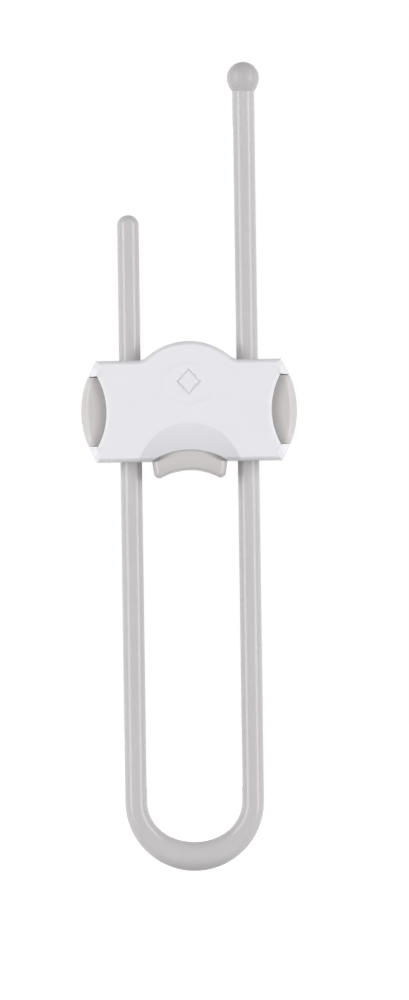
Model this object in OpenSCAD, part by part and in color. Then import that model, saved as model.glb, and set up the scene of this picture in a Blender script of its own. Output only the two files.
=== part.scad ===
// Sliding cabinet safety lock: a housing that runs on a U of round rod.
// X runs across the legs, Z up along them, and the front faces -Y.
// The origin is the centre of the rod's bend.

/* [Rod] */
// Diameter of the rod
rod_d = 7.3; // [6:0.1:8]
// Distance between the axes of the two legs
leg_pitch = 38.6; // [38:0.1:40]
// Height of the long leg over the centre of the bend
long_leg = 234.3; // [230:0.5:300]
// Height of the short leg's tip over the centre of the bend
short_leg = 194; // [170:0.5:196]
// Height of the rounded tip of the short leg
tip_rise = 2.6; // [1:0.1:3.4]
// How much thicker the bend is at its lowest point than the legs
bend_growth = 2.3; // [0:0.1:4]
// Diameter of the ball on the long leg
ball_d = 10.6; // [9.6:0.1:14]
// Height of the ball's centre over its seam
ball_neck = 4.5; // [3.5:0.1:6]
// Diameter of the spigot that the ball is pressed on
spigot_d = 4.2; // [3:0.1:5]
// Length of that spigot
spigot_len = 6; // [3:0.1:6.5]

/* [Rack] */
// Pitch of the teeth in the legs
rack_pitch = 3; // [2.8:0.1:3.2]
// Number of teeth from the centre of the bend to the middle of the housing
home_teeth = 43; // [38:1:45]
// Width of the groove that holds the teeth
groove_w = 2.4; // [2:0.1:3]
// Depth of the tooth crests under the rod's surface
crest_depth = 0.9; // [0.7:0.05:1.1]
// Depth of the teeth
tooth_depth = 0.8; // [0.6:0.05:1]
// Width of a tooth space at its root
root_w = 0.8; // [0.6:0.05:1]
// Width of a tooth space at the crests
mouth_w = 2.6; // [2:0.05:2.7]

/* [Housing] */
// Width over the bulging sides
body_w = 71; // [70:0.5:76]
// How far a side bulges out from its corners
side_bulge = 5; // [3:0.1:6]
// Height at the corners
body_h = 33.4; // [33:0.1:36]
// Thickness from front to back
body_t = 22; // [22:0.1:26]
// Thickness of the widest band of the bulging sides
side_band = 10; // [6:0.5:14]
// Height of the arch over the top edge
arch_rise = 6.2; // [4:0.1:8]
// Radius of the arch
arch_r = 21; // [19:0.5:26]
// Radius of the hollow at each foot of the arch
arch_foot_r = 5; // [3:0.5:6]
// Width of the bevel round the face
edge_w = 1.2; // [0.6:0.1:1.4]
// Thickness of the walls
wall = 1.6; // [1.4:0.05:1.8]
// Thickness of the ribs
rib_t = 1.2; // [0.8:0.1:1.4]

/* [Face] */
// Radius of the scoop over the tab
scoop_r = 17.7; // [16:0.1:19]
// Height of the scoop's upper edge over its centre line with the tab
scoop_top = 12.9; // [11:0.1:14]
// Depth of the scoop at the tab
scoop_depth = 0.8; // [0.4:0.05:0.9]
// Width of the oval dish
dish_w = 18.8; // [14:0.2:22]
// Height of the oval dish
dish_h = 14.2; // [10:0.2:15]
// Height of the dish's centre over the middle of the housing
dish_z = 9; // [7:0.1:10]
// Depth of the dish
dish_depth = 0.45; // [0.3:0.05:0.6]
// Width of the diamond line's outer edge
diamond_w = 7.8; // [5:0.1:9]
// Height of the diamond line's outer edge
diamond_h = 8.6; // [5:0.1:10]
// Width of the diamond line
line_w = 0.35; // [0.2:0.05:0.6]
// Depth of the diamond line in the dish
line_depth = 0.3; // [0.2:0.05:0.4]

/* [Buttons] */
// Height of a side button
button_h = 22.5; // [18:0.1:23]
// Width of a button at its middle, with the edge that lies under the covers
button_w = 8.7; // [8:0.1:9]
// How far the button's inner edge bows in
button_bow = 3; // [2:0.1:4]
// Width of the button's outer facet, seen from the front
facet_w = 1.9; // [1:0.1:2.5]
// Travel of a button
button_travel = 2.5; // [1.8:0.1:2.5]
// How far a cover's edge lies over a button
lip_w = 0.4; // [0.2:0.05:0.6]
// Width of the bevel round a button's opening
rim_w = 0.8; // [0.4:0.1:1]

/* [Tab] */
// Width of the tab at the housing's lower edge
tab_w = 24.8; // [20:0.1:25]
// Width of the tab over its rounded lower corners
tab_low_w = 23.8; // [19:0.1:24]
// How far the tab reaches under the housing
tab_drop = 5.5; // [4:0.1:7]
// Height of the hollow in the tab's lower edge
tab_hollow = 2.6; // [1:0.1:3]
// Radius of the tab's lower corners
tab_corner_r = 2; // [1.5:0.1:2.4]
// Width of the rounding round the tab's faces
tab_edge = 1.2; // [0.6:0.1:1.4]
// Height of the arched opening over the tab
opening_rise = 3.6; // [2.5:0.1:4]
// Travel of the tab
tab_travel = 2; // [1:0.1:2]

/* [Latches] */
// Height of a latch yoke
latch_h = 8; // [6:0.1:8.4]
// Thickness of a yoke's arms
arm_t = 2.2; // [1.5:0.1:2.4]
// Thickness of a yoke's inner bar
bar_t = 2.65; // [2:0.05:2.7]
// Gap between a yoke and the leg that it goes round
yoke_gap = 0.5; // [0.3:0.05:0.6]
// How far a yoke reaches into its button
latch_reach = 2.4; // [2:0.1:2.6]
// Width of the toothed tongue
tongue_w = 2; // [1.6:0.1:2]
// Number of teeth on a tongue
tongue_teeth = 3; // [1:2:3]
// Width of the post between the two latches
post_w = 6.8; // [6:0.1:7.4]
// Diameter of a button spring
button_spring_d = 4.6; // [4:0.1:5]
// Diameter of the tab spring
tab_spring_d = 3.6; // [3:0.1:3.8]
// Diameter of the compression springs' wire
wire_d = 0.6; // [0.4:0.05:0.7]
// Turns of a compression spring
spring_turns = 6; // [4:1:7]
// Height of the pegs that hold the springs' ends
peg_h = 0.9; // [0.6:0.1:1.2]

/* [Pawls] */
// Distance of a pawl's pin from the middle of the housing
pin_x = 11.5; // [11.3:0.05:11.7]
// Depth of a pawl's pin under the middle of the housing
pin_drop = 6.6; // [6.5:0.05:6.8]
// Diameter of a pin
pin_d = 2; // [1.6:0.1:2.2]
// Thickness of a pawl
pawl_t = 3.2; // [2.6:0.1:3.4]
// Diameter of a pawl's hub
hub_d = 3.8; // [3.4:0.1:3.8]
// Width of a pawl's arms
pawl_arm_w = 1.9; // [1.5:0.1:2]
// Distance of a pawl's nose from the middle of the housing
nose_x = 4.5; // [4.3:0.1:4.8]
// Depth of a pawl's nose under its pin
nose_drop = 3.6; // [3.4:0.1:3.8]
// Diameter of a pawl's nose
nose_d = 2; // [1.8:0.1:2.2]
// Diameter of the wire of a pawl spring
pawl_wire_d = 0.4; // [0.3:0.05:0.5]
// Turns of a pawl spring
pawl_turns = 2.5; // [1.5:0.5:2.5]
// Rise of a pawl spring for each turn
pawl_turn_rise = 0.92; // [0.7:0.01:1]

/* [Screws] */
// Diameter of a screw
screw_d = 2; // [1.6:0.1:2.2]
// Diameter of a screw's head
screw_head_d = 3.2; // [3:0.1:3.2]
// Height of a screw's head
screw_head_h = 1.4; // [1:0.1:2]
// Length of a screw under its head
screw_len = 10; // [8:0.5:11]
// Diameter of a screw boss
boss_d = 3.8; // [3.6:0.1:4]
// Depth of a screw's thread
thread_depth = 0.15; // [0.1:0.01:0.2]

/* [Fits] */
// Gap round a piece that moves
gap = 0.3; // [0.25:0.01:0.35]
// Gap between two pieces that are fastened together
seat_gap = 0.05; // [0.02:0.01:0.1]
// Gap round a pin that turns
pin_gap = 0.05; // [0.02:0.01:0.08]

/* [Hidden] */
$fn = 64;
// How far a cut runs past the face that it opens
over = wall;

// Places on the rod
rod_r = rod_d / 2;
leg_x = leg_pitch / 2;
crest_x = rod_r - crest_depth;
root_x = crest_x - tooth_depth;
home_z = home_teeth * rack_pitch;
rack_first = 2;
short_teeth = ceil(short_leg / rack_pitch);
long_teeth = floor((long_leg - ball_d) / rack_pitch);
bend_rings = 36;
bend_sides = 32;
bend_seam = seat_gap / 4;
tip_r = (rod_r * rod_r + tip_rise * tip_rise) / (2 * tip_rise);
ball_r = ball_d / 2;
ball_seam_r = rod_r + seat_gap;
ball_cone_share = 0.3;
ball_cone_z = ball_neck - ball_r * ball_cone_share;
ball_cone_r = ball_r * sqrt(1 - pow(ball_cone_share, 2));

// Places in the housing, from its own middle
top_z = body_h / 2;
bottom_z = -body_h / 2;
half_t = body_t / 2;
inner_t = half_t - wall;
// Rings of a cover's edge: depth and inset as shares of its width, and the share of the side's bulge
cover_edge_shares = [[2, 0, 0.42], [0.7, 0.15, 0.2], [0.2, 0.5, 0.08], [0, 1, 0]];
scoop_floor_share = 0.55;
// Rings of the dish, from its floor outwards: size and depth
dish_shares = [[0.15, 1], [0.45, 0.85], [0.75, 0.5], [1, 0], [1.08, -0.1]];
dish_sides = 48;
half_face = body_w / 2 - side_bulge;
arc_points = 20;
foot_z = top_z + arch_foot_r;
arch_z = top_z + arch_rise - arch_r;
foot_x = sqrt(pow(arch_r + arch_foot_r, 2) - pow(foot_z - arch_z, 2));
arch_share = arch_r / (arch_r + arch_foot_r);
meet_x = foot_x * arch_share;
meet_z = arch_z + (foot_z - arch_z) * arch_share;
bore_r = rod_r + gap;

// The button: its inner edge, and the depth of its face
button_t = inner_t - gap;
button_x = body_w / 2 - button_w;
button_end_x = button_x + button_bow;
button_outer_x = half_face + bow_out(side_bulge, top_z, button_h / 2);
facet_end_w = facet_w / 2;
pressed_x = button_x - button_travel - gap;

// The tab: its own outline, with its upper edge behind the cover
tab_t = inner_t - gap;
tab_low_z = bottom_z - tab_drop;
tab_top_z = bottom_z + edge_w;
// Rings of the tab's rounding from back to front: the face, and depth and inset as shares of the rounding
tab_shares = [[1, 0, 1], [1, 0.13, 0.5], [1, 0.5, 0.13], [1, 1, 0],
    [-1, 1, 0], [-1, 0.5, 0.13], [-1, 0.13, 0.5], [-1, 0, 1]];
opening_w = tab_w + 2 * gap;
slot_w = pawl_t + 4 * gap;
slot_z = bottom_z + wall + 2 * gap;
pad_w = 2 * (nose_x + nose_d / 2);
pad_z = -pin_drop - nose_drop - nose_d / 2 - gap;
ear_w = edge_w;
ear_z = bottom_z + wall + gap;

// The latch yoke, from the leg's outer side to its inner side
yoke_in = leg_x - rod_r - yoke_gap;
yoke_out = leg_x + rod_r + button_travel + yoke_gap;
arm_y = rod_r + yoke_gap;
latch_t = 2 * (arm_y + arm_t);
yoke_end = yoke_in - bar_t;
tongue_x = leg_x - root_x - gap;
valley_x = leg_x - crest_x - gap;
latch_outer = button_x + latch_reach;
shoulder_h = latch_h / 2 + rib_t;

// The post, the springs' seats and the pawls
post_h = latch_h - 2 * wire_d;
post_front = rod_r;
pawl_tooth_z = -4 * rack_pitch;
hub_bore_r = pin_d / 2 + pin_gap;
pin_boss_y = pawl_t / 2 + pawl_turns * pawl_turn_rise + gap;
pawl_spring_r = (pin_d + pawl_wire_d) / 2 + gap;

// The screws' places
screw_x = half_face - wall - boss_d / 2 - gap;
screw_z = top_z - wall - boss_d / 2 + 2 * gap;
boss_pilot_r = screw_d / 2 - thread_depth;
cross_shares = [0.7, 0.15];

// How far a bowed side stands out at height z, given its rise and its chord's half length
function bow_out(rise, half, z) =
    let (r = (half * half + rise * rise) / (2 * rise))
    sqrt(r * r - z * z) - (r - rise);

function unit(v) = v / norm(v);

// Points from a to b, without b, along an arc that stands out by rise to the right
function bow(a, b, rise, n = arc_points) =
    let (h = norm(b - a) / 2,
        s = abs(rise) < h / 500 ? h / 500 : rise,
        turn = 2 * atan(s / h),
        r = h / sin(turn),
        u = (b - a) / (2 * h),
        v = [u.y, -u.x])
    [for (i = [0 : n - 1]) let (t = turn * (2 * i / n - 1))
        (a + b) / 2 + u * r * sin(t) + v * r * (cos(t) - cos(turn))];

// The same arc, given by its radius
function bow_r(a, b, r, n = arc_points) =
    let (h = norm(b - a) / 2)
    bow(a, b, sign(r) * (abs(r) - sqrt(r * r - h * h)), n);

// An outline drawn in by d along its own mitres
function drawn_in(points, d) =
    let (n = len(points))
    [for (i = [0 : n - 1])
        let (u = unit(points[i] - points[(i + n - 1) % n]),
            v = unit(points[(i + 1) % n] - points[i]),
            m = unit([-u.y - v.y, u.x + v.x]))
        points[i] + m * d / (m * [-u.y, u.x])];

// The housing's outline, with its sides bulging by a share of their full bulge
function body_outline(share, inset) =
    drawn_in(concat(
        bow([half_face, bottom_z], [half_face, top_z], side_bulge * share),
        [[half_face, top_z]],
        bow_r([foot_x, top_z], [meet_x, meet_z], -arch_foot_r, 6),
        bow_r([meet_x, meet_z], [-meet_x, meet_z], arch_r),
        bow_r([-meet_x, meet_z], [-foot_x, top_z], -arch_foot_r, 6),
        [[-foot_x, top_z]],
        bow([-half_face, top_z], [-half_face, bottom_z], side_bulge * share),
        [[-half_face, bottom_z]]), inset);

// The opening for the right button, with the lip that lies over its inner edge
function button_opening(extra) =
    let (z = button_h / 2 + gap + extra, x = button_end_x + lip_w - extra)
    concat([[body_w, -z], [body_w, z]],
        bow([x, z], [x, -z], button_bow),
        [[x, -z]]);

// The right button seen from the front, with its outer edge at two given places
function button_ring(y, mid_x, end_x) =
    let (z = button_h / 2)
    ring(y, concat(
        bow([end_x, -z], [end_x, z], mid_x - end_x),
        [[end_x, z]],
        bow([button_end_x, z], [button_end_x, -z], button_bow),
        [[button_end_x, -z]]));

// The tab seen from the front, without the hollow in its lower edge
function tab_outline(inset) =
    let (corner_x = tab_low_w / 2 - tab_corner_r, corner_z = tab_low_z + tab_corner_r)
    drawn_in(concat(
        bow_r([corner_x, tab_low_z], [tab_low_w / 2, corner_z], tab_corner_r, 8),
        [[tab_low_w / 2, corner_z], [tab_w / 2, bottom_z]],
        bow([tab_w / 2, tab_top_z], [-tab_w / 2, tab_top_z], opening_rise),
        [[-tab_w / 2, tab_top_z], [-tab_w / 2, bottom_z]],
        bow_r([-tab_low_w / 2, corner_z], [-corner_x, tab_low_z], tab_corner_r, 8),
        [[-corner_x, tab_low_z]]), inset);

// The hollow seen from the front
function tab_hollow_outline(extra) =
    let (half = tab_low_w / 2 - tab_corner_r)
    drawn_in(concat(
        [[-half, tab_low_z - over], [half, tab_low_z - over]],
        bow([half, tab_low_z], [-half, tab_low_z], tab_hollow),
        [[-half, tab_low_z]]), -extra);

function ring(y, points) = [for (p = points) [p.x, y, p.y]];

// A closed solid through rings that all have as many points
module loft(rings) {
    n = len(rings[0]);
    m = len(rings);
    polyhedron(
        points = [for (r = rings) each r],
        faces = concat(
            [[for (i = [0 : n - 1]) i]],
            [for (k = [0 : m - 2], i = [0 : n - 1]) let (j = (i + 1) % n)
                [k * n + i, k * n + n + i, k * n + j]],
            [for (k = [0 : m - 2], i = [0 : n - 1]) let (j = (i + 1) % n)
                [k * n + n + i, k * n + n + j, k * n + j]],
            [[for (i = [0 : n - 1]) m * n - 1 - i]]));
}

// A flat shape in X and Z, made solid from one depth to another
module along_y(from, to) {
    translate([0, to, 0]) rotate([90, 0, 0]) linear_extrude(to - from) children();
}

// A round bar along Y
module rod_y(x, z, r, from, to) {
    translate([x, to, z]) rotate([90, 0, 0]) cylinder(r = r, h = to - from);
}

module bar(a, b, w) {
    u = unit(b - a);
    v = [-u.y, u.x] * w / 2;
    polygon([a - v, b - v, b + v, a + v]);
}

// A box from its lowest to its highest corner
module block(low, high) {
    translate(low) cube(high - low);
}

// A round wire wound along Z
module coil(r, wire_r, length, turns, sides = 6) {
    steps = ceil(turns * 12);
    rise = length / turns / 360;
    loft([for (k = [0 : steps])
        let (a = 360 * turns * k / steps,
            out = [cos(a), sin(a), 0],
            ahead = unit([-r * sin(a), r * cos(a), rise * 180 / PI]),
            side = cross(ahead, out))
        [for (i = [0 : sides - 1]) let (q = 360 * i / sides)
            r * out + [0, 0, rise * a] + wire_r * (cos(q) * out + sin(q) * side)]]);
}

module both_sides() {
    children();
    mirror([1, 0, 0]) children();
}

module home() {
    translate([0, 0, home_z]) children();
}

// The bend, thickest at its lowest point
module bend() {
    outer = leg_x + rod_r;
    loft([for (k = [0 : bend_rings])
        let (a = 180 + 180 * k / bend_rings,
            inner = leg_x - rod_r - bend_growth * pow(sin(a), 2),
            middle = (outer + inner) / 2,
            half = (outer - inner) / 2 - bend_seam,
            depth = rod_r - bend_seam)
        [for (i = [0 : bend_sides - 1]) let (q = 360 * i / bend_sides, r = middle + half * cos(q))
            [r * cos(a), depth * sin(q), r * sin(a)]]]);
}

// The toothed groove in a leg's inner side, for a leg on the left of the middle
module rack(teeth) {
    z0 = rack_first * rack_pitch - mouth_w / 2;
    z1 = teeth * rack_pitch + mouth_w / 2;
    out_x = rod_r + over;
    along_y(-groove_w / 2, groove_w / 2) polygon(concat(
        [[out_x, z0]],
        [for (k = [rack_first : teeth]) let (z = k * rack_pitch)
            each [[crest_x, z - mouth_w / 2], [root_x, z - root_w / 2],
                [root_x, z + root_w / 2], [crest_x, z + mouth_w / 2]]],
        [[out_x, z1]]));
}

module shackle_rod() {
    color("silver") {
        bend();
        difference() {
            translate([-leg_x, 0, 0]) {
                cylinder(r = rod_r, h = short_leg - tip_rise);
                intersection() {
                    translate([0, 0, short_leg - tip_r]) sphere(r = tip_r);
                    translate([0, 0, short_leg - tip_rise]) cylinder(r = rod_d, h = tip_r);
                }
            }
            translate([-leg_x, 0, 0]) rack(short_teeth);
        }
        difference() {
            translate([leg_x, 0, 0]) {
                cylinder(r = rod_r, h = long_leg);
                cylinder(d = spigot_d, h = long_leg + spigot_len);
            }
            translate([leg_x, 0, 0]) mirror([1, 0, 0]) rack(long_teeth);
        }
    }
}

module ball_stop() {
    color("darkgray") translate([leg_x, 0, long_leg]) difference() {
        union() {
            intersection() {
                translate([0, 0, ball_neck]) sphere(r = ball_r);
                translate([0, 0, ball_cone_z]) cylinder(r = ball_d, h = ball_d);
            }
            cylinder(r1 = ball_seam_r, r2 = ball_cone_r, h = ball_cone_z);
        }
        translate([0, 0, -over]) cylinder(r = spigot_d / 2 + seat_gap, h = spigot_len + seat_gap + over);
    }
}

// The outer form of one cover: rings from the parting plane to the face
module cover_form() {
    loft(concat(
        [ring(0, body_outline(1, 0)), ring(-side_band / 2, body_outline(1, 0))],
        [for (s = cover_edge_shares) ring(-half_t + edge_w * s.x, body_outline(s.z, edge_w * s.y))]));
}

// A plate across the housing that a leg runs through
module guide_plate(z) {
    block([leg_x - bore_r - rib_t, -inner_t - seat_gap, z], [leg_x + bore_r + rib_t, 0, z + rib_t]);
}

// What both covers share, seen as the front one
module cover_shell() {
    difference() {
        union() {
            difference() {
                cover_form();
                along_y(-inner_t, over) polygon(body_outline(0, wall));
            }
            intersection() {
                cover_form();
                union() {
                    both_sides() {
                        guide_plate(screw_z - boss_d);
                        guide_plate(-screw_z + boss_d - rib_t);
                        for (s = [-1, 1])
                            rod_y(screw_x, s * screw_z, boss_d / 2, -inner_t - seat_gap, 0);
                        for (z = [latch_h / 2 + gap, -latch_h / 2 - gap - rib_t])
                            block([yoke_in + gap, -inner_t - seat_gap, z],
                                [pressed_x, -arm_y - gap, z + rib_t]);
                        rod_y(pin_x, -pin_drop, hub_d / 2, -inner_t - seat_gap, -pin_boss_y);
                    }
                }
            }
        }
        both_sides() {
            translate([leg_x, 0, bottom_z - over]) cylinder(r = bore_r, h = body_h + 2 * over);
            along_y(-half_t - over, over) polygon(button_opening(0));
            block([pressed_x, -inner_t, -button_h / 2 - gap], [body_w, over, button_h / 2 + gap]);
            loft([ring(-half_t + rim_w, button_opening(0)),
                ring(-half_t - rim_w, button_opening(2 * rim_w))]);
            block([0, -slot_w / 2, slot_z], [leg_x, over, -latch_h / 2 - rib_t - gap]);
            rod_y(pin_x, -pin_drop, pin_d / 2 + seat_gap, -inner_t, over);
        }
        along_y(-half_t - over, over) polygon(concat(
            [[-opening_w / 2, bottom_z - over], [opening_w / 2, bottom_z - over]],
            bow([opening_w / 2, bottom_z], [-opening_w / 2, bottom_z], opening_rise),
            [[-opening_w / 2, bottom_z]]));
        block([-opening_w / 2, -inner_t, bottom_z - over], [opening_w / 2, over, bottom_z + wall + over]);
    }
}

// The shallow dish, drawn as rings of an oval
module dish() {
    loft([for (s = dish_shares)
        ring(-half_t + dish_depth * s.y,
            [for (k = [0 : dish_sides - 1]) let (a = 360 * k / dish_sides)
                [dish_w / 2 * s.x * cos(a), dish_z + dish_h / 2 * s.x * sin(a)]])]);
}

// A rhombus whose sides lie inside those of the diamond by a given width
module diamond(inset) {
    side = norm([diamond_w, diamond_h]);
    x = diamond_w / 2 - inset * side / diamond_h;
    z = diamond_h / 2 - inset * side / diamond_w;
    polygon([[0, dish_z - z], [x, dish_z], [0, dish_z + z], [-x, dish_z]]);
}

module front_cover() {
    scoop_z = bottom_z + scoop_top - scoop_r;
    color("white") home() difference() {
        cover_shell();
        translate([0, -half_t + scoop_depth, scoop_z]) rotate([90, 0, 0])
            cylinder(r1 = scoop_r * scoop_floor_share, r2 = scoop_r, h = scoop_depth);
        dish();
        along_y(-half_t - over, -half_t + dish_depth + line_depth) difference() {
            diamond(0);
            diamond(line_w);
        }
        for (s = [-1, 1], t = [-1, 1])
            rod_y(s * screw_x, t * screw_z, boss_pilot_r, -inner_t, over);
    }
}

module rear_cover() {
    head_y = screw_len - inner_t + gap;
    color("whitesmoke") home() {
        difference() {
            mirror([0, 1, 0]) cover_shell();
            for (s = [-1, 1], t = [-1, 1]) {
                rod_y(s * screw_x, t * screw_z, screw_d / 2 + seat_gap, -over, half_t + over);
                rod_y(s * screw_x, t * screw_z, screw_head_d / 2 + seat_gap, head_y, half_t + over);
            }
        }
        block([-post_w / 2, -post_front, -post_h / 2], [post_w / 2, inner_t + seat_gap, post_h / 2]);
        both_sides() translate([post_w / 2, 0, 0]) rotate([0, 90, 0])
            cylinder(r = spring_peg_r(button_spring_d), h = peg_h);
        translate([0, 0, -post_h / 2 - peg_h])
            cylinder(r = spring_peg_r(tab_spring_d), h = peg_h);
    }
}

// The peg that a spring of this diameter sits round
function spring_peg_r(d) = d / 2 - wire_d - gap / 2;

module cover_screws() {
    head_y = screw_len - inner_t + gap;
    color("lightsteelblue") home()
        for (s = [-1, 1], t = [-1, 1]) difference() {
            union() {
                rod_y(s * screw_x, t * screw_z, boss_pilot_r - seat_gap, -inner_t + gap, 0);
                rod_y(s * screw_x, t * screw_z, screw_d / 2, 0, head_y);
                rod_y(s * screw_x, t * screw_z, screw_head_d / 2, head_y, head_y + screw_head_h);
            }
            for (a = [0, 90]) translate([s * screw_x, head_y + screw_head_h, t * screw_z])
                rotate([0, a, 0]) cube([screw_head_d * cross_shares.x, screw_head_h, screw_head_d * cross_shares.y], center = true);
        }
}

// A button for the right side, with its latch's pocket and room for the leg
module button() {
    crest = body_w / 2 - facet_w;
    crest_end = button_outer_x - facet_end_w;
    face = crest - facet_w;
    face_end = crest_end - facet_end_w;
    home() difference() {
        loft([
            button_ring(button_t, face, face_end),
            button_ring(button_t - facet_end_w, crest, crest_end),
            button_ring(side_band / 2, body_w / 2, button_outer_x),
            button_ring(-side_band / 2, body_w / 2, button_outer_x),
            button_ring(-button_t + facet_end_w, crest, crest_end),
            button_ring(-button_t, face, face_end)]);
        block([0, -latch_t / 2 - seat_gap, -latch_h / 2 - seat_gap],
            [latch_outer + seat_gap, latch_t / 2 + seat_gap, latch_h / 2 + seat_gap]);
        hull() for (x = [0, button_travel])
            translate([leg_x + x, 0, -button_h]) cylinder(r = bore_r, h = 2 * button_h);
    }
}

module right_button() {
    color("silver") button();
}

module left_button() {
    color("silver") mirror([1, 0, 0]) button();
}

// The teeth of a tongue or pawl, as a strip from the leg's side inwards
function teeth_strip(from, to, back_x) = concat(
    [for (k = [from : to]) let (z = k * rack_pitch)
        each [[valley_x, z - mouth_w / 2], [tongue_x, z - root_w / 2],
            [tongue_x, z + root_w / 2], [valley_x, z + mouth_w / 2]]],
    [[back_x, to * rack_pitch + mouth_w / 2], [back_x, from * rack_pitch - mouth_w / 2]]);

// A latch for the right side: a yoke round the leg, toothed on its inner side
module latch() {
    reach = floor(tongue_teeth / 2);
    home() {
        difference() {
            block([yoke_end, -latch_t / 2, -latch_h / 2], [latch_outer, latch_t / 2, latch_h / 2]);
            block([yoke_in, -arm_y, -latch_h], [yoke_out, arm_y, latch_h]);
        }
        for (s = [-1, 1]) scale([1, s, 1])
            block([yoke_end, arm_y + gap, 0], [yoke_in, latch_t / 2, shoulder_h]);
        intersection() {
            along_y(-tongue_w / 2, tongue_w / 2) polygon(teeth_strip(-reach, reach, yoke_in - bar_t / 2));
            block([0, -latch_t, -latch_h / 2], [body_w, latch_t, latch_h / 2]);
        }
        translate([yoke_end - peg_h, 0, 0]) rotate([0, 90, 0])
            cylinder(r = spring_peg_r(button_spring_d), h = peg_h + bar_t / 2);
    }
}

module right_latch() {
    color("khaki") latch();
}

module left_latch() {
    color("khaki") mirror([1, 0, 0]) latch();
}

module button_spring() {
    length = yoke_end - post_w / 2 - wire_d - 2 * seat_gap;
    home() translate([post_w / 2 + wire_d / 2 + seat_gap, 0, 0]) rotate([0, 90, 0])
        coil((button_spring_d - wire_d) / 2, wire_d / 2, length, spring_turns);
}

module right_button_spring() {
    color("slategray") button_spring();
}

module left_button_spring() {
    color("slategray") mirror([1, 0, 0]) button_spring();
}

module release_tab() {
    color("silver") home() {
        difference() {
            loft([for (s = tab_shares) ring(s.x * (tab_t - s.y * tab_edge), tab_outline(s.z * tab_edge))]);
            loft(concat(
                [ring(tab_t + over, tab_hollow_outline(tab_edge))],
                [for (s = tab_shares) ring(s.x * (tab_t - s.y * tab_edge), tab_hollow_outline(s.z * tab_edge))],
                [ring(-tab_t - over, tab_hollow_outline(tab_edge))]));
            block([-tab_w, -slot_w / 2, slot_z], [tab_w, slot_w / 2, 0]);
        }
        block([-pad_w / 2, -slot_w / 2, slot_z - edge_w], [pad_w / 2, slot_w / 2, pad_z]);
        translate([0, 0, pad_z]) cylinder(r = spring_peg_r(tab_spring_d), h = peg_h);
        both_sides() for (s = [-1, 1]) scale([1, s, 1])
            block([tab_w / 2 - ear_w, slot_w / 2 + gap, ear_z],
                [tab_w / 2 + ear_w, tab_t - tab_edge, ear_z + ear_w]);
    }
}

module tab_spring() {
    length = -post_h / 2 - pad_z - wire_d - 2 * seat_gap;
    color("slategray") home() translate([0, 0, pad_z + wire_d / 2 + seat_gap])
        coil((tab_spring_d - wire_d) / 2, wire_d / 2, length, spring_turns - 1);
}

// A pawl for the right side: a toothed arm and a nose on one hub
module pawl() {
    hub = [pin_x, -pin_drop];
    nose = [nose_x, -pin_drop - nose_drop];
    root = [valley_x, pawl_tooth_z];
    steps = pawl_tooth_z / rack_pitch;
    home() difference() {
        union() {
            along_y(-pawl_t / 2, pawl_t / 2) bar(nose, hub, pawl_arm_w);
            rod_y(hub.x, hub.y, hub_d / 2, -pawl_t / 2, pawl_t / 2);
            rod_y(nose.x, nose.y, nose_d / 2, -pawl_t / 2, pawl_t / 2);
            along_y(-tongue_w / 2, tongue_w / 2) bar(hub, root, pawl_arm_w);
            along_y(-tongue_w / 2, tongue_w / 2) intersection() {
                polygon(teeth_strip(steps, steps, valley_x - pawl_arm_w));
                bar(hub, root + (root - hub), mouth_w);
            }
        }
        rod_y(hub.x, hub.y, hub_bore_r, -pawl_t, pawl_t);
    }
}

module right_pawl() {
    color("darkkhaki") pawl();
}

module left_pawl() {
    color("darkkhaki") mirror([1, 0, 0]) pawl();
}

// A torsion spring round a pin, between the pawl and the rear boss
module pawl_spring() {
    length = pin_boss_y - pawl_t / 2 - pawl_wire_d - gap;
    home() translate([pin_x, pin_boss_y - gap / 2 - pawl_wire_d / 2, -pin_drop]) rotate([90, 0, 0])
        coil(pawl_spring_r, pawl_wire_d / 2, length, pawl_turns);
}

module right_pawl_spring() {
    color("slategray") pawl_spring();
}

module left_pawl_spring() {
    color("slategray") mirror([1, 0, 0]) pawl_spring();
}

module pawl_pins() {
    color("lightsteelblue") home() both_sides()
        rod_y(pin_x, -pin_drop, pin_d / 2, -inner_t + gap, inner_t - gap);
}

shackle_rod();
ball_stop();
front_cover();
rear_cover();
cover_screws();
left_button();
right_button();
left_latch();
right_latch();
left_button_spring();
right_button_spring();
release_tab();
tab_spring();
left_pawl();
right_pawl();
left_pawl_spring();
right_pawl_spring();
pawl_pins();
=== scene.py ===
# Looks for the sliding cabinet lock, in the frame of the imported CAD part.
# Sizes in the dictionaries are millimetres and degrees; meshes are made in metres.
import math
import bmesh
import bpy
import numpy as np
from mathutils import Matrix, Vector, geometry


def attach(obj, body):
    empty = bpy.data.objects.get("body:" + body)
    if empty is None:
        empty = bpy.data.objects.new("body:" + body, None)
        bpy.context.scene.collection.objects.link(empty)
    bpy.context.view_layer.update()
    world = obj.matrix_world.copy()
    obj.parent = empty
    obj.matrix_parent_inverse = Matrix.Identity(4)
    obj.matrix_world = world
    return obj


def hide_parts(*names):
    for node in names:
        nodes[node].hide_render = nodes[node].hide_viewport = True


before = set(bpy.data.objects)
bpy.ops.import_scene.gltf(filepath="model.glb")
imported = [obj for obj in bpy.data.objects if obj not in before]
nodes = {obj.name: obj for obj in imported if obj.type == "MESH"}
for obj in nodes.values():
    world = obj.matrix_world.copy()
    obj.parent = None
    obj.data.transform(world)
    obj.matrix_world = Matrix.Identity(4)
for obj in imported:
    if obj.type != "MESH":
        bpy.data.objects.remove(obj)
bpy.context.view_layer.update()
mm = 0.001
homeZ = 129.0  # middle of the housing over the centre of the bend
# smallest sizes that count: for meshes in millimetres, for corners of an outline as the sine of their turn
least = {"merge": 0.002, "flat": 0.001, "fill": 1e-5, "offAxis": 1e-6, "corner": 0.08, "sharp": 0.02,
         "unlike": 1e-9, "bowShare": 0.002}
print("frame loaded:", len(nodes), "CAD nodes")


def addObject(name, data):
    thing = bpy.data.objects.new(name, data)
    bpy.context.scene.collection.objects.link(thing)
    return thing


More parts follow.
